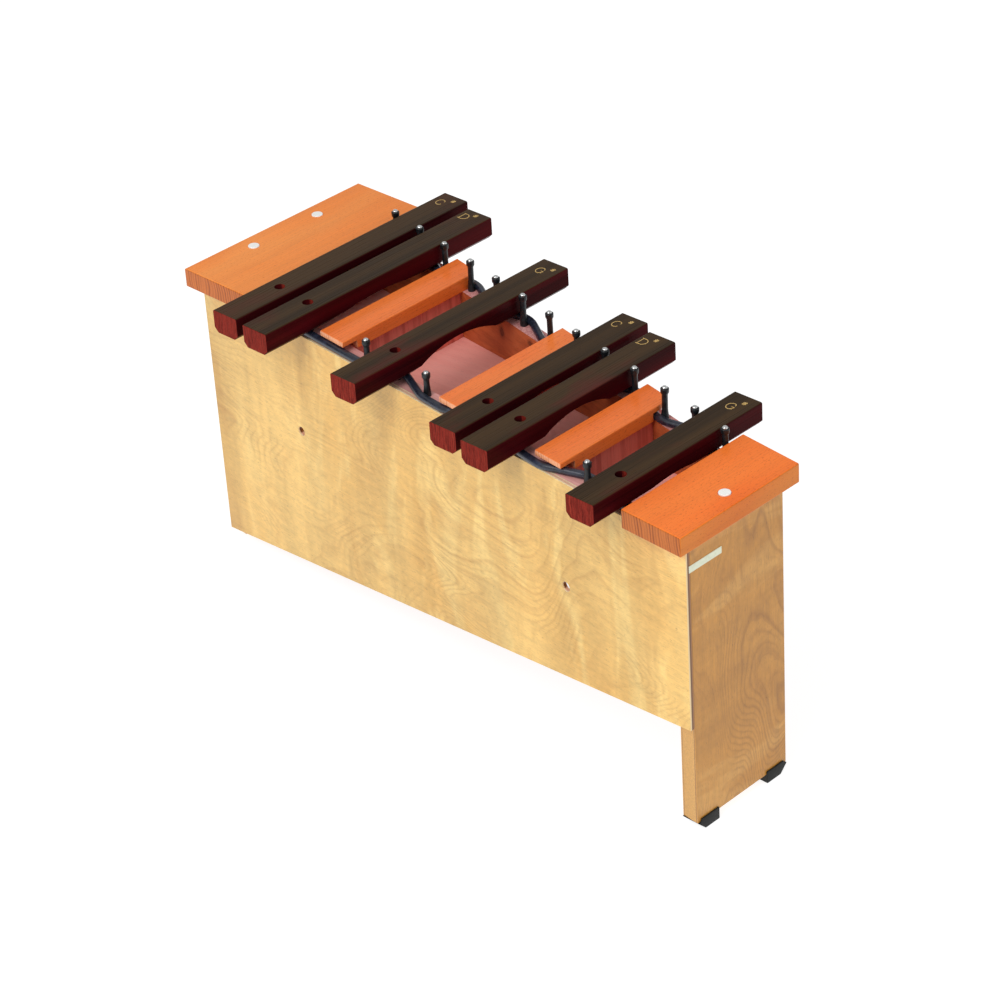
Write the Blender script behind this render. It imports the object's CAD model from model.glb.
import math
import random

import bmesh
import bpy
from mathutils import Matrix, Vector


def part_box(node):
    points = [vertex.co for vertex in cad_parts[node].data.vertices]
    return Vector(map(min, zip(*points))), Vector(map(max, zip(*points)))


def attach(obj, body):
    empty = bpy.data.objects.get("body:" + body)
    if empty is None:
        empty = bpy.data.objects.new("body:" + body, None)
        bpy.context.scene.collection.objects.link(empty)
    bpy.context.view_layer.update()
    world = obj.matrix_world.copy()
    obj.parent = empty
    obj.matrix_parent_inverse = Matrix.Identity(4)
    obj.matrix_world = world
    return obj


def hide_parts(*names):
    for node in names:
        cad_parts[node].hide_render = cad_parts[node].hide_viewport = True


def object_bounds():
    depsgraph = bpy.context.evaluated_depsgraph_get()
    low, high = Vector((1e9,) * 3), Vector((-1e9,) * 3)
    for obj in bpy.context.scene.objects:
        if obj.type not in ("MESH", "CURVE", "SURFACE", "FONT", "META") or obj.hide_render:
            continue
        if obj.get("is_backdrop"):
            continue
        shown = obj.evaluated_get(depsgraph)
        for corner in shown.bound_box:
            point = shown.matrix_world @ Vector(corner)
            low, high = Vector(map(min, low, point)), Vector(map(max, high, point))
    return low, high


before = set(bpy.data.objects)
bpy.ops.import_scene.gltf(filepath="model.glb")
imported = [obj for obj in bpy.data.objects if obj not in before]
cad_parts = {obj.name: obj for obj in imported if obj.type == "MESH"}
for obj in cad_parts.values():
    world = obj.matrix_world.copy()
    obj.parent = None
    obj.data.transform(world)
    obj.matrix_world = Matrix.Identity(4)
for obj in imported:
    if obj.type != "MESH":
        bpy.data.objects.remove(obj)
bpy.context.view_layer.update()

scene = bpy.context.scene
scene.view_settings.view_transform = "Standard"
rng = random.Random(7)

# ---------------------------------------------------------------- camera
AZ, EL, ROLL = math.radians(45.967), math.radians(31.77), math.radians(-3.757)
right0 = Vector((math.cos(AZ), math.sin(AZ), 0))
back = Vector((math.sin(AZ) * math.cos(EL), -math.cos(AZ) * math.cos(EL), math.sin(EL)))
up0 = back.cross(right0)
R = math.cos(ROLL) * right0 + math.sin(ROLL) * up0
U = -math.sin(ROLL) * right0 + math.cos(ROLL) * up0
cam_data = bpy.data.cameras.new("camera")
cam_data.sensor_width = 36.0
cam_data.lens = 3246.0 / 1000 * 36.0
cam_data.clip_end = 60
cam = bpy.data.objects.new("camera", cam_data)
cam.matrix_world = Matrix(((R.x, U.x, back.x, 1.7083), (R.y, U.y, back.y, -1.6687), (R.z, U.z, back.z, 1.6121), (0, 0, 0, 1)))
scene.collection.objects.link(cam)
scene.camera = cam


# ---------------------------------------------------------------- node helpers
def lin(r, g, b):
    def f(c):
        c = c / 255
        return c / 12.92 if c <= 0.04045 else ((c + 0.055) / 1.055) ** 2.4
    return (f(r), f(g), f(b), 1.0)


class Mat:
    """A node material with a short way to write its graph."""

    def __init__(self, name, rough=0.5, spec=0.5, metal=0.0, coat=0.0, coat_rough=0.1, ior=1.5, tint=None):
        self.m = bpy.data.materials.new(name)
        self.m.use_nodes = True
        self.t = self.m.node_tree
        self.b = self.t.nodes["Principled BSDF"]
        self.set("Roughness", rough)
        self.set("Specular IOR Level", spec)
        self.set("Metallic", metal)
        self.set("IOR", ior)
        if coat:
            self.set("Coat Weight", coat)
            self.set("Coat Roughness", coat_rough)
        if tint:
            self.set("Specular Tint", tint)
        tc = self.node("ShaderNodeTexCoord")
        self.obj, self.nrm = tc.outputs["Object"], tc.outputs["Normal"]

    def set(self, socket, v):
        if hasattr(v, "is_output"):
            self.t.links.new(v, self.b.inputs[socket])
        else:
            self.b.inputs[socket].default_value = v

    def node(self, kind, **props):
        n = self.t.nodes.new(kind)
        for k, v in props.items():
            setattr(n, k, v)
        return n

    def put(self, sock, v):
        if hasattr(v, "is_output"):
            self.t.links.new(v, sock)
        else:
            sock.default_value = v

    def math(self, op, a, b=0.0, c=None, clamp=False):
        n = self.node("ShaderNodeMath", operation=op, use_clamp=clamp)
        self.put(n.inputs[0], a)
        self.put(n.inputs[1], b)
        if c is not None:
            self.put(n.inputs[2], c)
        return n.outputs[0]

    def split(self, v):
        n = self.node("ShaderNodeSeparateXYZ")
        self.put(n.inputs[0], v)
        return n.outputs[0], n.outputs[1], n.outputs[2]

    def join(self, x, y, z):
        n = self.node("ShaderNodeCombineXYZ")
        for s, v in zip(n.inputs, (x, y, z)):
            self.put(s, v)
        return n.outputs[0]

    def scaled(self, x, y, z, off=(0, 0, 0)):
        """Object coordinates with a scale for each axis."""
        n = self.node("ShaderNodeMapping")
        self.put(n.inputs["Vector"], self.obj)
        n.inputs["Location"].default_value = off
        n.inputs["Scale"].default_value = (x, y, z)
        return n.outputs[0]

    def noise(self, vec, scale=1.0, detail=2.0, rough=0.5, dist=0.0):
        n = self.node("ShaderNodeTexNoise")
        self.put(n.inputs["Vector"], vec)
        n.inputs["Scale"].default_value = scale
        n.inputs["Detail"].default_value = detail
        n.inputs["Roughness"].default_value = rough
        n.inputs["Distortion"].default_value = dist
        return n.outputs["Fac"]

    def ramp(self, fac, stops, smooth=False):
        n = self.node("ShaderNodeValToRGB")
        r = n.color_ramp
        r.interpolation = "EASE" if smooth else "LINEAR"
        while len(r.elements) < len(stops):
            r.elements.new(0.5)
        for e, (p, c) in zip(r.elements, stops):
            e.position = p
            e.color = c if isinstance(c, tuple) else (c, c, c, 1)
        self.put(n.inputs[0], fac)
        return n.outputs["Color"]

    def step(self, fac, lo, hi, a=0.0, b=1.0):
        n = self.node("ShaderNodeMapRange", interpolation_type="SMOOTHSTEP")
        self.put(n.inputs["Value"], fac)
        n.inputs["From Min"].default_value = lo
        n.inputs["From Max"].default_value = hi
        n.inputs["To Min"].default_value = a
        n.inputs["To Max"].default_value = b
        return n.outputs["Result"]

    def mix(self, fac, a, b, mode="MIX"):
        n = self.node("ShaderNodeMix", data_type="RGBA", blend_type=mode, clamp_result=False)
        self.put(n.inputs[0], fac)
        self.put(n.inputs[6], a)
        self.put(n.inputs[7], b)
        return n.outputs[2]

    def scale_colour(self, col, value):
        """Colour times a grey value."""
        return self.mix(1.0, col, self.join(value, value, value), "MULTIPLY")

    def bump(self, height, strength, distance):
        n = self.node("ShaderNodeBump")
        n.inputs["Strength"].default_value = strength
        n.inputs["Distance"].default_value = distance
        self.put(n.inputs["Height"], height)
        self.set("Normal", n.outputs[0])

    def facing(self, axis, lo=0.6, hi=0.8):
        """1 on faces square to an axis, 0 elsewhere."""
        part = self.split(self.nrm)["XYZ".index(axis)]
        return self.step(self.math("ABSOLUTE", part), lo, hi)


# ---------------------------------------------------------------- materials
def veneer(name, along, across, base, dark, pale, seed, loops=(5.0, 10.0), lines=13.0, ripple=0.10, edge=None, plies=None,
           line_depth=0.55, wash=None, upright=None, gild=(246, 212, 132)):
    """Rotary-cut face veneer: contour lines of a slow height field, soft ripple
    figure across the grain, fine fibres and short pores."""
    m = Mat(name, rough=0.34, spec=0.38, coat=0.18, coat_rough=0.18)
    axes = {"X": 0, "Y": 1, "Z": 2}
    off = [seed * 3.17, seed * 1.31, seed * 2.23]

    def vec(u, v, w=0.0):
        s = [w, w, w]
        s[axes[along]] = u
        s[axes[across]] = v
        return m.scaled(*s, off=off)

    slow = m.noise(vec(loops[0], loops[1]), detail=1.5, rough=0.42, dist=0.35)
    wob = m.noise(vec(loops[0] * 5, loops[1] * 5), detail=3, rough=0.55)
    h = m.math("ADD", m.math("MULTIPLY", slow, lines), m.math("MULTIPLY", wob, 0.55))
    f = m.math("FRACT", h)
    ring = m.ramp(f, [(0.0, 0.18), (0.10, 0.02), (0.45, 0.05), (0.72, 0.35), (0.90, 1.0), (0.97, 0.75), (1.0, 0.18)])
    # bundles of fine lines run beside the broad ones
    f2 = m.math("FRACT", m.math("ADD", m.math("MULTIPLY", slow, lines * 2.5), m.math("MULTIPLY", wob, 1.8)))
    fine = m.ramp(f2, [(0.0, 0.3), (0.2, 0.0), (0.55, 0.1), (0.86, 1.0), (1.0, 0.3)])
    where = m.step(m.noise(vec(loops[0] * 1.6, loops[1] * 1.3), detail=1), 0.40, 0.66, 0.05, 0.8)
    where2 = m.step(m.noise(vec(loops[0] * 2.3, loops[1] * 2.1, 3.0), detail=2), 0.42, 0.62, 0.0, 1.0)
    mott = m.noise(vec(150, 230, 200), detail=4, rough=0.62)
    flame = m.noise(vec(20, 5.5, 9), detail=3, rough=0.55, dist=1.1)
    dash = m.step(m.noise(vec(75, 1300, 500), detail=2), 0.60, 0.70)
    fibre = m.noise(vec(30, 900, 300), detail=3, rough=0.6)
    fibre2 = m.noise(vec(9, 160, 60), detail=3, rough=0.6)
    pores = m.step(m.noise(vec(260, 1900, 700), detail=1), 0.66, 0.74)
    rip = m.noise(vec(26, 3.2), detail=2, rough=0.5, dist=0.5)
    broad = m.noise(vec(6.5, 2.6), detail=2, rough=0.5, dist=0.8)
    col = m.mix(m.step(broad, 0.34, 0.66), lin(*pale), lin(*base))
    col = m.mix(m.math("MULTIPLY", m.step(flame, 0.50, 0.68), 0.6), col, lin(*gild))
    col = m.mix(m.math("MULTIPLY", m.step(flame, 0.46, 0.30), 0.35), col, lin(*[0.55 * a + 0.45 * b for a, b in zip(base, dark)]))
    lined = m.mix(m.math("MULTIPLY", m.math("MULTIPLY", ring, where), line_depth), col, lin(*dark))
    lined = m.mix(m.math("MULTIPLY", m.math("MULTIPLY", fine, where2), line_depth * 0.75), lined, lin(*dark))
    lined = m.mix(m.math("MULTIPLY", dash, 0.22), lined, lin(*dark))
    lum = m.math("ADD", m.step(rip, 0.28, 0.72, 1.0 - ripple, 1.0 + ripple * 0.7),
                 m.math("ADD", m.math("MULTIPLY", m.math("SUBTRACT", fibre, 0.5), 0.26), m.math("MULTIPLY", m.math("SUBTRACT", fibre2, 0.5), 0.30)))
    lum = m.math("ADD", lum, m.math("MULTIPLY", m.math("SUBTRACT", mott, 0.5), 0.34))
    col = m.scale_colour(lined, lum)
    col = m.mix(m.math("MULTIPLY", pores, 0.42), col, lin(*[c * 0.62 for c in dark]))
    if wash:
        # a browner wash at one low corner, from handling and age
        x, y, z = m.split(m.obj)
        d = m.math("ADD", m.math("MULTIPLY", x, wash[0]), m.math("MULTIPLY", z, wash[1]))
        w = m.step(m.math("ADD", d, m.math("MULTIPLY", m.math("SUBTRACT", broad, 0.5), 0.25)), wash[2], wash[3])
        col = m.mix(m.math("MULTIPLY", w, 0.55), col, lin(*wash[4]))
    if plies:
        # cut edges show the plies, as bands parallel to the face
        x, y, z = m.split(m.obj)
        axis, slope, start, thick = plies
        d = m.math("ADD", {"Y": y, "X": x}[axis], m.math("MULTIPLY", {"Y": x, "X": y}[axis], slope))
        t = m.math("DIVIDE", m.math("SUBTRACT", d, start), thick)
        t = m.math("ADD", t, m.math("MULTIPLY", m.math("SUBTRACT", fibre2, 0.5), 0.05))
        band = m.ramp(t, edge)
        band = m.scale_colour(band, m.math("ADD", 0.72, m.math("MULTIPLY", m.noise(m.scaled(700, 700, 700), detail=2), 0.56)))
        cut = m.math("SUBTRACT", 1.0, m.facing(axis))
        col = m.mix(cut, col, band)
        if upright:
            # the upright cut is a pale outer layer and then a dark one
            band2 = m.ramp(t, upright)
            col = m.mix(m.math("MULTIPLY", cut, m.facing("X", 0.5, 0.8)), col, band2)
    m.set("Base Color", col)
    m.set("Roughness", m.step(fibre, 0.25, 0.75, 0.30, 0.42))
    relief = m.math("ADD", m.math("MULTIPLY", fibre, 0.6), m.math("MULTIPLY", pores, -0.9))
    m.bump(relief, 0.16, 0.00025)
    return m.m


def beech(name, base, pale, dark, end, end_dark, pith, period=0.0023, seed=0.0, rough=0.34, coat=0.10, side=None):
    """Solid steamed beech with its grain along Y: rings about a pith line, short ray flecks,
    and striped end grain on faces square to Y."""
    m = Mat(name, rough=rough, spec=0.24, coat=coat, coat_rough=0.12, tint=lin(255, 225, 190))
    x, y, z = m.split(m.obj)
    off = (seed, seed * 0.37, seed * 0.71)
    warp = m.noise(m.scaled(16, 2.5, 16, off), detail=2, rough=0.5)
    dx = m.math("SUBTRACT", x, pith[0])
    dz = m.math("SUBTRACT", z, pith[1])
    r = m.math("SQRT", m.math("ADD", m.math("MULTIPLY", dx, dx), m.math("MULTIPLY", dz, dz)))
    r = m.math("ADD", m.math("DIVIDE", r, period), m.math("MULTIPLY", warp, 7.0))
    f = m.math("FRACT", r)
    ring = m.ramp(f, [(0.0, 0.35), (0.14, 0.0), (0.5, 0.10), (0.8, 0.75), (0.92, 1.0), (1.0, 0.35)])
    # growth differs from year to year: some rings are wide and dark, some can hardly be seen
    year = m.noise(m.join(m.math("MULTIPLY", r, 0.37), 0.0, seed), detail=3, rough=0.7)
    ring = m.math("MULTIPLY", ring, m.step(year, 0.36, 0.62, 0.15, 1.0))
    fibre = m.noise(m.scaled(700, 22, 700, off), detail=3, rough=0.6)
    streak = m.noise(m.scaled(70, 3.0, 70, off), detail=3, rough=0.55)
    fleck = m.step(m.noise(m.scaled(1500, 330, 1500, off), detail=1), 0.61, 0.69)
    broad = m.noise(m.scaled(14, 5, 14, off), detail=2, dist=0.6)
    col = m.mix(m.step(broad, 0.3, 0.7), lin(*pale), lin(*base))
    col = m.mix(m.math("MULTIPLY", ring, 0.16), col, lin(*dark))
    col = m.scale_colour(col, m.math("ADD", 0.79, m.math("ADD", m.math("MULTIPLY", fibre, 0.22), m.math("MULTIPLY", streak, 0.24))))
    col = m.mix(m.math("MULTIPLY", fleck, 0.5), col, lin(*dark))
    # end grain
    egrain = m.noise(m.scaled(1300, 1300, 1300, off), detail=2)
    ray = m.noise(m.scaled(420, 400, 60, off), detail=2)
    ecol = m.mix(ring, lin(*end), lin(*end_dark))
    ecol = m.scale_colour(ecol, m.math("ADD", 0.62, m.math("ADD", m.math("MULTIPLY", egrain, 0.38), m.math("MULTIPLY", ray, 0.38))))
    if side:
        # the sawn upright sides are duller than the face
        col = m.mix(m.math("MULTIPLY", m.facing("X", 0.6, 0.85), side[1]), col, m.mix(1.0, col, lin(*side[0]), "MULTIPLY"))
    col = m.mix(m.facing("Y", 0.55, 0.8), col, ecol)
    m.set("Base Color", col)
    m.set("Roughness", m.step(fibre, 0.25, 0.75, rough - 0.04, rough + 0.1))
    m.bump(m.math("ADD", m.math("MULTIPLY", fibre, 0.6), m.math("MULTIPLY", fleck, -0.6)), 0.14, 0.0002)
    return m.m


def plain_wood(name, base, dark, along, seed=0.0, rough=0.5, knots=(), grain=0.5, spec=0.3, top=None):
    """Inner boards: straight grain with a thin finish, and knots where there are any."""
    m = Mat(name, rough=rough, spec=spec)
    s = {"X": (1, 14, 14), "Y": (14, 1, 14), "Z": (14, 14, 1)}[along]
    off = (seed, seed * 0.7, seed * 1.9)
    vec = m.scaled(*[{1: 5.0, 14: 150.0}[k] for k in s], off=off)
    streak = m.noise(vec, detail=4, rough=0.62, dist=0.4)
    fibre = m.noise(m.scaled(*[k * 55 for k in s], off=off), detail=2)
    pore = m.step(m.noise(m.scaled(*[{1: 200, 14: 1700}[k] for k in s], off=off), detail=1), 0.66, 0.74)
    blot = m.noise(m.scaled(11, 11, 11, off), detail=2)
    col = m.mix(m.math("MULTIPLY", m.step(streak, 0.34, 0.7), grain), lin(*base), lin(*dark))
    col = m.scale_colour(col, m.math("ADD", 0.84, m.math("ADD", m.math("MULTIPLY", fibre, 0.14), m.math("MULTIPLY", blot, 0.18))))
    col = m.mix(m.math("MULTIPLY", pore, 0.35), col, lin(*[c * 0.7 for c in dark]))
    for kx, kz, rx, rz in knots:
        x, y, z = m.split(m.obj)
        wob = m.math("MULTIPLY", m.math("SUBTRACT", m.noise(m.scaled(120, 120, 120, off), detail=2), 0.5), 0.9)
        a = m.math("DIVIDE", m.math("SUBTRACT", x, kx), rx)
        b = m.math("DIVIDE", m.math("SUBTRACT", z, kz), rz)
        d = m.math("ADD", m.math("SQRT", m.math("ADD", m.math("MULTIPLY", a, a), m.math("MULTIPLY", b, b))), wob)
        k = m.ramp(m.math("DIVIDE", d, 4.0), [(0.0, 0.75), (0.10, 0.85), (0.25, 1.0), (0.34, 0.45), (0.5, 0.28), (0.62, 0.06), (0.8, 0.0)])
        col = m.mix(m.math("MULTIPLY", k, 0.8), col, lin(*[c * 0.42 for c in dark]))
    if top:
        # the sawn upper edge is paler and speckled
        speck = m.noise(m.scaled(650, 650, 650, off), detail=3, rough=0.7)
        tcol = m.mix(m.step(speck, 0.38, 0.64), lin(*top[1]), lin(*top[0]))
        col = m.mix(m.facing("Z", 0.7, 0.9), col, tcol)
    m.set("Base Color", col)
    m.set("Roughness", m.step(streak, 0.3, 0.7, rough - 0.06, rough + 0.08))
    m.bump(m.math("ADD", fibre, m.math("MULTIPLY", pore, -0.8)), 0.2, 0.0003)
    return m.m


def bar_wood(name, seed, warm=0.5):
    """Polished dark sound-bar wood: fine streaks along Y, a browner top, wine-red sides and
    red-brown end grain with fine upright stripes."""
    m = Mat(name, rough=0.34, spec=0.11, coat=0.0, coat_rough=0.08, tint=lin(255, 205, 165))
    off = (seed, seed * 0.31, seed * 1.7)
    fibre = m.noise(m.scaled(620, 9, 620, off), detail=4, rough=0.62)
    streak = m.noise(m.scaled(85, 1.6, 85, off), detail=3, rough=0.5)
    pore = m.step(m.noise(m.scaled(2100, 130, 2100, off), detail=1), 0.66, 0.73)
    side = m.mix(m.step(streak, 0.3, 0.72), lin(70, 10, 16), lin(42, 6, 11))
    top = m.mix(m.step(streak, 0.3, 0.72), lin(66, 47, 25), lin(46, 33, 18))
    patch = m.noise(m.scaled(26, 9, 26, off), detail=3, rough=0.6)
    top = m.mix(m.math("MULTIPLY", m.step(patch, 0.5, 0.72), warm), top, lin(86, 30, 24))
    nx, ny, nz = m.split(m.nrm)
    col = m.mix(m.step(nz, 0.55, 0.9), side, top)
    col = m.scale_colour(col, m.math("ADD", 0.80, m.math("MULTIPLY", fibre, 0.4)))
    col = m.mix(m.math("MULTIPLY", pore, 0.5), col, lin(16, 7, 6))
    # end grain
    x, y, z = m.split(m.obj)
    warp = m.noise(m.scaled(60, 60, 60, off), detail=2)
    stripe = m.noise(m.join(m.math("ADD", m.math("MULTIPLY", x, 480.0), m.math("MULTIPLY", warp, 2.4)), m.math("MULTIPLY", z, 26.0), seed), detail=3, rough=0.6)
    speck = m.noise(m.scaled(1500, 1500, 1500, off), detail=2)
    ecol = m.ramp(stripe, [(0.30, lin(78, 20, 16)), (0.46, lin(138, 44, 34)), (0.56, lin(96, 26, 20)), (0.66, lin(152, 54, 40)), (0.78, lin(120, 36, 28))])
    ecol = m.scale_colour(ecol, m.math("ADD", 0.72, m.math("MULTIPLY", speck, 0.5)))
    col = m.mix(m.facing("Y", 0.80, 0.95), col, ecol)
    m.set("Base Color", col)
    m.set("Roughness", m.step(fibre, 0.25, 0.75, 0.22, 0.38))
    lit = m.step(nz, 0.3, 0.8)
    m.set("Specular IOR Level", m.math("ADD", 0.03, m.math("MULTIPLY", lit, 0.08)))
    m.set("Coat Weight", m.math("MULTIPLY", lit, 0.035))
    m.bump(m.math("ADD", m.math("MULTIPLY", fibre, 0.5), m.math("MULTIPLY", pore, -0.8)), 0.14, 0.0002)
    return m.m


def rubber(name, base, pale, rough, spec=0.35, seed=0.0, coat=0.0):
    m = Mat(name, rough=rough, spec=spec, coat=coat, coat_rough=0.25)
    off = (seed, seed, seed)
    dust = m.noise(m.scaled(230, 230, 230, off), detail=4, rough=0.65)
    mott = m.noise(m.scaled(45, 45, 45, off), detail=2)
    col = m.mix(m.step(dust, 0.45, 0.75, 0.0, 0.8), lin(*base), lin(*pale))
    col = m.scale_colour(col, m.step(mott, 0.3, 0.7, 0.82, 1.12))
    m.set("Base Color", col)
    m.set("Roughness", m.step(dust, 0.3, 0.7, rough - 0.07, rough + 0.1))
    m.bump(m.noise(m.scaled(1500, 1500, 1500, off), detail=2), 0.18, 0.0002)
    return m.m


def steel(name):
    m = Mat(name, rough=0.2, metal=1.0)
    n = m.noise(m.scaled(900, 900, 900), detail=3)
    m.set("Base Color", m.mix(m.step(n, 0.3, 0.7), lin(238, 240, 240), lin(205, 207, 206)))
    m.set("Roughness", m.step(n, 0.3, 0.7, 0.14, 0.3))
    m.bump(n, 0.05, 0.0001)
    return m.m


def plastic(name, base, shade, rough=0.22, coat=0.3):
    m = Mat(name, rough=rough, spec=0.5, coat=coat, coat_rough=0.05)
    n = m.noise(m.scaled(300, 300, 300), detail=3)
    m.set("Base Color", m.mix(m.step(n, 0.4, 0.75, 0.0, 0.5), lin(*base), lin(*shade)))
    m.set("Roughness", m.step(n, 0.3, 0.7, rough - 0.05, rough + 0.08))
    m.bump(m.noise(m.scaled(90, 90, 90), detail=1), 0.06, 0.0003)
    return m.m


def gold(name):
    m = Mat(name, rough=0.42, spec=0.5, metal=0.25)
    n = m.noise(m.scaled(1200, 1200, 1200), detail=3)
    m.set("Base Color", m.mix(m.step(n, 0.35, 0.7), lin(240, 205, 130), lin(196, 152, 78)))
    m.set("Roughness", m.step(n, 0.3, 0.7, 0.3, 0.5))
    m.bump(n, 0.2, 0.0001)
    return m.m


FACE_SLOPE = 0.103
PLY3 = [(0.0, lin(244, 222, 180)), (0.30, lin(244, 222, 180)), (0.34, lin(206, 158, 124)), (0.38, lin(226, 178, 152)),
        (0.64, lin(226, 178, 152)), (0.68, lin(200, 150, 120)), (0.72, lin(240, 214, 176)), (1.0, lin(238, 210, 172))]
PLY7 = [(0.0, lin(204, 153, 80)), (0.07, lin(204, 153, 80)), (0.09, lin(140, 88, 44)), (0.12, lin(202, 151, 79)), (0.88, lin(206, 155, 83)),
        (0.92, lin(132, 82, 40)), (0.95, lin(196, 143, 72)), (1.0, lin(196, 143, 72))]
PLY3X = [(0.0, lin(238, 214, 168)), (0.26, lin(232, 202, 150)), (0.38, lin(140, 94, 58)), (0.48, lin(104, 64, 38)), (0.60, lin(108, 68, 40)), (0.76, lin(158, 108, 56)), (1.0, lin(160, 110, 58))]
lo_f, hi_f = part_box("front_panel")
face_start = hi_f.y - 0.005 + FACE_SLOPE * lo_f.x    # y + slope*x is constant on the outer face

M = {}
M["face"] = veneer("front_ply", "X", "Z", (218, 169, 86), (170, 114, 46), (231, 189, 109), 1.0, loops=(4.4, 8.4), lines=27.0, ripple=0.13,
                   edge=PLY3, plies=("Y", FACE_SLOPE, face_start, 0.005), line_depth=0.34, upright=PLY3X,
                   wash=(-1.0, -1.0, 0.20, 0.36, (196, 146, 82)))
M["end_r"] = veneer("end_ply_right", "Z", "Y", (191, 132, 50), (136, 84, 28), (202, 144, 62), 2.4, loops=(4.6, 8.5), lines=30.0, ripple=0.06,
                    edge=PLY7, plies=("X", 0.0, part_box("right_end_panel")[0].x, 0.017), line_depth=0.46, gild=(216, 162, 84))
M["end_l"] = veneer("end_ply_left", "Z", "Y", (191, 132, 50), (136, 84, 28), (202, 144, 62), 5.1, loops=(4.6, 8.5), lines=28.0, ripple=0.06,
                    edge=PLY7, plies=("X", 0.0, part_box("left_end_panel")[0].x, 0.017), line_depth=0.46, gild=(216, 162, 84))
M["board_l"] = beech("board_beech_left", (247, 141, 62), (252, 155, 76), (202, 87, 33), (196, 108, 50), (122, 50, 22), (-1.3, 0.16), seed=0.4, period=0.0031, side=((226, 222, 208), 1.0))
M["board_r"] = beech("board_beech_right", (248, 115, 38), (252, 131, 52), (196, 69, 21), (190, 106, 46), (116, 44, 18), (-0.6, 0.10), seed=5.7, period=0.0029, side=((218, 246, 226), 1.0))
M["strip"] = beech("strip_beech", (243, 118, 48), (250, 134, 63), (194, 70, 26), (236, 164, 120), (200, 112, 72), (-0.7, 0.12), seed=3.3, period=0.0034, rough=0.28, coat=0.22)
M["floor"] = plain_wood("resonator_floor_wood", (254, 182, 170), (238, 152, 142), "X", seed=1.7, grain=0.35)
M["rail"] = plain_wood("rail_wood", (232, 172, 164), (186, 112, 110), "X", seed=4.2, grain=0.6)
M["divider"] = plain_wood("divider_wood", (226, 128, 112), (176, 78, 68), "Z", seed=6.1, grain=0.7)
M["wall"] = plain_wood("back_wall_wood", (192, 100, 56), (138, 58, 28), "X", seed=2.9, grain=0.55, top=((232, 172, 166), (196, 122, 120)),
                       knots=[(-0.0553, 0.2567, 0.0020, 0.0034), (-0.0122, 0.2640, 0.0024, 0.0018)])
M["tube"] = rubber("tube_rubber", (27, 32, 46), (50, 58, 80), 0.32, spec=0.55, seed=1.0, coat=0.2)
M["sleeve"] = rubber("sleeve_rubber", (17, 22, 25), (40, 50, 56), 0.38, spec=0.45, seed=2.0)
M["foot"] = rubber("foot_rubber", (17, 19, 18), (40, 42, 40), 0.6, seed=3.0)
M["steel"] = steel("pin_steel")
M["cap"] = plastic("cap_plastic", (253, 253, 250), (240, 240, 235))
M["plate"] = plastic("plate_film", (226, 230, 204), (206, 212, 186), rough=0.4, coat=0.0)
M["gold"] = gold("letter_gold")


# ---------------------------------------------------------------- mesh helpers
def link(name, mesh, mat, body="body"):
    o = bpy.data.objects.new(name, mesh)
    scene.collection.objects.link(o)
    if mat:
        mesh.materials.clear() if hasattr(mesh, "materials") else None
        mesh.materials.append(mat)
    if body:
        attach(o, body)
    return o


def node_bmesh(node):
    bm = bmesh.new()
    bm.from_mesh(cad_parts[node].data)
    bmesh.ops.remove_doubles(bm, verts=bm.verts, dist=2e-6)
    return bm


def finish_mesh(bm, name, angle=34, keep=False):
    me = bpy.data.meshes.new(name)
    bmesh.ops.recalc_face_normals(bm, faces=bm.faces)
    for f in bm.faces:
        f.smooth = f.smooth if keep else True
    for e in bm.edges:
        if len(e.link_faces) == 2:
            e.smooth = e.calc_face_angle(0.0) < math.radians(angle)
    bm.to_mesh(me)
    bm.free()
    return me


def refined(node, mat, width, body="body", segments=2, name=None, angle=30):
    """A copy of a CAD solid as clean faces with its hard edges rounded, which stands for the node."""
    bm = node_bmesh(node)
    bmesh.ops.dissolve_limit(bm, angle_limit=math.radians(0.4), verts=bm.verts, edges=bm.edges)
    sharp = [e for e in bm.edges if len(e.link_faces) == 2 and e.calc_face_angle(0.0) > math.radians(angle)]
    if width:
        bmesh.ops.bevel(bm, geom=sharp, offset=width, offset_type="OFFSET", segments=segments, profile=0.5,
                        affect="EDGES", clamp_overlap=True)
        bmesh.ops.remove_doubles(bm, verts=bm.verts, dist=1e-6)
    for f in bm.faces:
        f.smooth = f.calc_area() < 0.0005      # large flat faces keep their own normal
    bmesh.ops.triangulate(bm, faces=[f for f in bm.faces if len(f.verts) > 4])
    o = link(name or node + "_v", finish_mesh(bm, node, keep=True), mat, body)
    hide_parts(node)
    return o


def islands(node):
    """Lowest and highest corners of each separate solid of a node, from left to right."""
    bm = node_bmesh(node)
    seen, out = set(), []
    for v in bm.verts:
        if v.index in seen:
            continue
        stack, co = [v], []
        seen.add(v.index)
        while stack:
            w = stack.pop()
            co.append(w.co.copy())
            for e in w.link_edges:
                q = e.other_vert(w)
                if q.index not in seen:
                    seen.add(q.index)
                    stack.append(q)
        lo = Vector(min(c[i] for c in co) for i in range(3))
        hi = Vector(max(c[i] for c in co) for i in range(3))
        out.append((lo, hi))
    bm.free()
    return sorted(out, key=lambda b: b[0].x)


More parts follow.
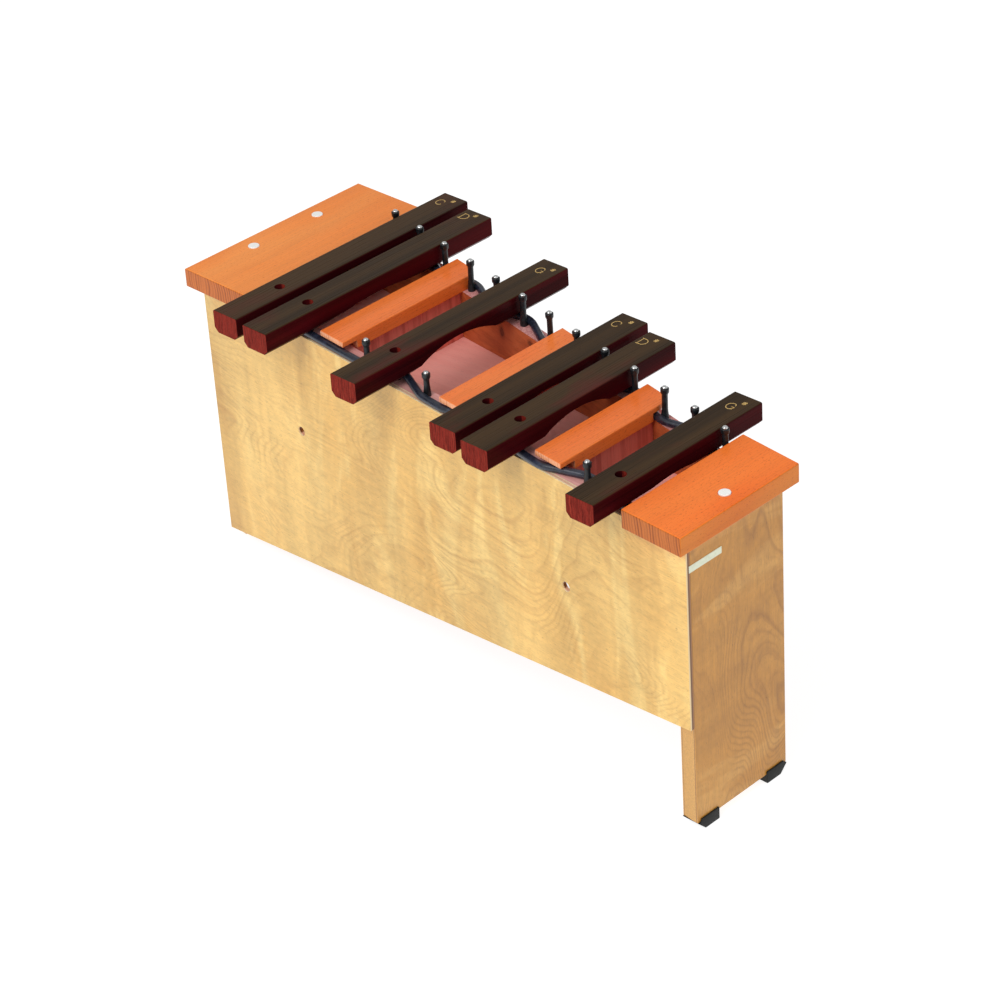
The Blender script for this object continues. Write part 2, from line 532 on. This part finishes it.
def lathe(bm, profile, centre, tilt, n=36):
    """A turned solid: profile is (radius, height) from the foot up, closed on the axis at both ends."""
    rings = []
    rot = Matrix.Rotation(tilt[0], 3, "X") @ Matrix.Rotation(tilt[1], 3, "Y")
    for r, z in profile:
        if r < 1e-7:
            rings.append([bm.verts.new(centre + rot @ Vector((0, 0, z)))])
        else:
            rings.append([bm.verts.new(centre + rot @ Vector((r * math.cos(2 * math.pi * k / n), r * math.sin(2 * math.pi * k / n), z)))
                          for k in range(n)])
    for a, b in zip(rings, rings[1:]):
        for k in range(n):
            j = (k + 1) % n
            if len(a) == 1 and len(b) > 1:
                bm.faces.new((a[0], b[j], b[k]))
            elif len(b) == 1 and len(a) > 1:
                bm.faces.new((a[k], a[j], b[0]))
            elif len(a) > 1 and len(b) > 1:
                bm.faces.new((a[k], a[j], b[j], b[k]))
    return bm


def arc_profile(cr, cz, r, a0, a1, n):
    return [(cr + r * math.cos(math.radians(a0 + (a1 - a0) * i / n)), cz + r * math.sin(math.radians(a0 + (a1 - a0) * i / n))) for i in range(n + 1)]


# ---------------------------------------------------------------- the box
refined("front_panel", M["face"], 0.0006)
refined("back_wall", M["wall"], 0.0009)
refined("front_rail", M["rail"], 0.0008)
refined("right_end_panel", M["end_r"], 0.0007)
refined("left_end_panel", M["end_l"], 0.0007)
refined("left_board", M["board_l"], 0.0009, segments=3)
refined("right_board", M["board_r"], 0.0009, segments=3)
for i in (1, 2, 3, 4):
    refined("resonator_floor_%d" % i, M["floor"], 0.0004)
for i in (1, 2, 3):
    refined("divider_%d" % i, M["divider"], 0.0006)
    refined("spacer_strip_%d" % i, M["strip"], 0.0006, segments=3)

# ---------------------------------------------------------------- bars and their letters
BARS = [("bar_c_sharp_low", "C"), ("bar_d_sharp_low", "D"), ("bar_g_sharp_low", "G"),
        ("bar_c_sharp_high", "C"), ("bar_d_sharp_high", "D"), ("bar_g_sharp_high", "G")]


def strokes(letter):
    """Pen lines of a note letter in a box one unit high."""
    def arc(cx, cy, rx, ry, a0, a1, n=14):
        return [(cx + rx * math.cos(math.radians(a0 + (a1 - a0) * i / n)), cy + ry * math.sin(math.radians(a0 + (a1 - a0) * i / n))) for i in range(n + 1)]
    if letter == "C":
        return [arc(0.0, 0.0, 0.42, 0.5, 48, 312), [(0.281, 0.37), (0.285, 0.20)], [(0.281, -0.37), (0.30, -0.24)]]
    if letter == "D":
        return [[(-0.34, -0.5), (-0.34, 0.5)], [(-0.46, 0.5), (-0.05, 0.5)] + arc(-0.05, 0.0, 0.45, 0.5, 90, -90) + [(-0.46, -0.5)]]
    if letter == "G":
        return [arc(0.0, 0.0, 0.42, 0.5, 48, 330), [(0.281, 0.37), (0.285, 0.20)], [(0.10, -0.05), (0.44, -0.05)], [(0.36, -0.05), (0.36, -0.42)]]
    return [[(-0.17, -0.42), (-0.09, 0.42)], [(0.09, -0.42), (0.17, 0.42)], [(-0.34, 0.15), (0.36, 0.19)], [(-0.36, -0.19), (0.34, -0.15)]]


def ribbon(bm, pts, half, z0, z1):
    """A thin raised stroke with a rounded top along a line of points."""
    n = len(pts)
    dirs = []
    for i in range(n):
        a, b = Vector(pts[max(0, i - 1)]), Vector(pts[min(n - 1, i + 1)])
        d = (b - a).normalized()
        dirs.append(Vector((-d.y, d.x)))
    sect = [(-half, z0), (-half * 0.92, z0 + (z1 - z0) * 0.55), (-half * 0.45, z1), (half * 0.45, z1), (half * 0.92, z0 + (z1 - z0) * 0.55), (half, z0)]
    rings = []
    for (x, y), d in zip(pts, dirs):
        rings.append([bm.verts.new((x + d.x * s, y + d.y * s, z)) for s, z in sect])
    m = len(sect)
    for a, b in zip(rings, rings[1:]):
        for k in range(m):
            j = (k + 1) % m
            bm.faces.new((a[k], b[k], b[j], a[j]))
    bm.faces.new(rings[0])
    bm.faces.new(list(reversed(rings[-1])))


# where each letter and its sharp sign sit, from the middle of the bar and from its back end
SEATS = {"bar_c_sharp_low": ((-3.9, 15.9), (5.0, 8.3)), "bar_d_sharp_low": ((-6.2, 13.2), (1.2, 6.4)), "bar_g_sharp_low": ((-1.6, 17.6), (7.0, 10.6)),
         "bar_c_sharp_high": ((-4.8, 17.3), (3.3, 8.1)), "bar_d_sharp_high": ((-6.8, 15.9), (0.8, 8.0)), "bar_g_sharp_high": ((-1.2, 20.0), (5.0, 10.4))}
for i, (node, letter) in enumerate(BARS):
    body = node.replace("bar_", "lift_")
    refined(node, bar_wood("bar_wood_%d" % (i + 1), 1.3 + 2.7 * i, (0.35, 0.35, 0.7, 0.6, 0.8, 0.7)[i]), 0.0009, body=body, segments=3, angle=34)
    lo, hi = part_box(node)
    mid = (lo.x + hi.x) / 2
    bm = bmesh.new()
    top = hi.z
    ja = math.radians(rng.uniform(-3, 3))
    (ax, ay), (bx, by) = SEATS[node]
    for sign, cx, cy, size in ((letter, mid + ax / 1000, hi.y - ay / 1000, 0.0094), ("#", mid + bx / 1000, hi.y - by / 1000, 0.0054)):
        for pts in strokes(sign):
            ca, sa = math.cos(ja), math.sin(ja)
            ribbon(bm, [(cx + size * (ca * px - sa * py), cy + size * (sa * px + ca * py)) for px, py in pts],
                   0.00040 if sign != "#" else 0.00048, top - 0.0001, top + 0.00012)
    o = link("note_" + node[4:], finish_mesh(bm, "note_" + node[4:], 60), M["gold"], body)

# ---------------------------------------------------------------- pins
for row in ("back", "front"):
    bs, bn = bmesh.new(), bmesh.new()
    for lo, hi in islands(row + "_pins"):
        c = Vector(((lo.x + hi.x) / 2, (lo.y + hi.y) / 2, 0.271))
        high = hi.z - 0.271
        tilt = (math.radians(rng.uniform(-1.3, 1.3)), math.radians(rng.uniform(-1.3, 1.3)))
        mm = 0.001
        cup = high / mm
        prof = [(0, 0.0), (3.3, 0.0), (3.35, 2.0), (3.2, 4.5), (2.85, 7.0), (2.62, 9.5), (2.55, 12.0)]
        prof += [(2.55, cup - 9.0), (2.62, cup - 7.8), (2.95, cup - 7.0), (3.42, cup - 6.2), (3.6, cup - 5.4), (3.62, cup - 3.4)]
        prof += arc_profile(3.05, cup - 2.6, 0.58, 0, 150, 8)
        prof += [(2.5, cup - 2.7), (2.45, cup - 3.2), (0, cup - 3.2)]
        lathe(bs, [(r * mm, z * mm) for r, z in prof], c, tilt)
        head = [(0, cup - 3.1), (2.3, cup - 3.1), (2.42, cup - 2.2)] + [(2.42 * math.cos(t), cup - 1.7 + 1.7 * math.sin(t)) for t in [math.radians(a) for a in (0, 15, 30, 45, 60, 75)]] + [(0, cup)]
        lathe(bn, [(r * mm, z * mm) for r, z in head], c, tilt)
    o = link(row + "_sleeves_v", finish_mesh(bs, row + "_sleeves", 50), M["sleeve"])
    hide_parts(row + "_pin_sleeves")
    o = link(row + "_pins_v", finish_mesh(bn, row + "_pins", 60), M["steel"])
    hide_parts(row + "_pins")

# ---------------------------------------------------------------- carried-over CAD nodes
def paint(node, mat):
    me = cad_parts[node].data
    if len(me.materials):
        for i in range(len(me.materials)):
            me.materials[i] = mat
    else:
        me.materials.append(mat)


for t in ("back_tube", "front_tube"):
    lo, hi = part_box(t)
    bm = node_bmesh(t)
    bm.normal_update()
    for v in bm.verts:
        v.co += v.normal * 0.00045
        v.co.z = min(max(v.co.z, lo.z + 0.00005), hi.z + 0.0002)
    o = link(t + "_v", finish_mesh(bm, t, 60), M["tube"])
    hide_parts(t)
for n in ("left_board_screws", "right_board_screw"):
    paint(n, M["steel"])
for n in ("left_board_caps", "right_board_cap"):
    paint(n, M["cap"])
for n in ("foot_right_front", "foot_right_back", "foot_left_front", "foot_left_back"):
    refined(n, M["foot"], 0.0008, segments=3)
paint("end_plate", M["plate"])

# ---------------------------------------------------------------- floor and light
m = Mat("floor_white", rough=0.8, spec=0.0)
m.set("Base Color", m.mix(m.noise(m.scaled(3, 3, 3), detail=2), lin(150, 150, 150), lin(152, 152, 152)))
m.set("Emission Color", (1, 1, 1, 1))
m.set("Emission Strength", 0.86)
me = bpy.data.meshes.new("floor")
me.from_pydata([(-8, -8, 0), (8, -8, 0), (8, 8, 0), (-8, 8, 0)], [], [(0, 1, 2, 3)])
me.materials.append(m.m)
ground = bpy.data.objects.new("floor", me)
scene.collection.objects.link(ground)
ground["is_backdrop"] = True

world = bpy.data.worlds.new("world")
scene.world = world
world.use_nodes = True
wt = world.node_tree
bg = wt.nodes["Background"]
path = wt.nodes.new("ShaderNodeLightPath")
mixer = wt.nodes.new("ShaderNodeMix")
mixer.data_type = "FLOAT"
mixer.inputs[2].default_value = 0.52
mixer.inputs[3].default_value = 1.0
wt.links.new(path.outputs["Is Camera Ray"], mixer.inputs[0])
wt.links.new(mixer.outputs[0], bg.inputs["Strength"])
bg.inputs["Color"].default_value = (1, 1, 1, 1)


def area(name, pos, target, size, power, colour=(1, 1, 1)):
    d = bpy.data.lights.new(name, "AREA")
    d.shape = "DISK"
    d.size = size
    d.energy = power
    d.color = colour
    o = bpy.data.objects.new(name, d)
    o.location = pos
    o.rotation_euler = (Vector(target) - Vector(pos)).to_track_quat("-Z", "Y").to_euler()
    scene.collection.objects.link(o)
    return o


area("key", (0.35, -2.3, 2.5), (0, 0, 0.2), 1.9, 54)
area("fill", (2.6, 0.3, 1.7), (0, 0, 0.2), 1.6, 7)

lo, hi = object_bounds()
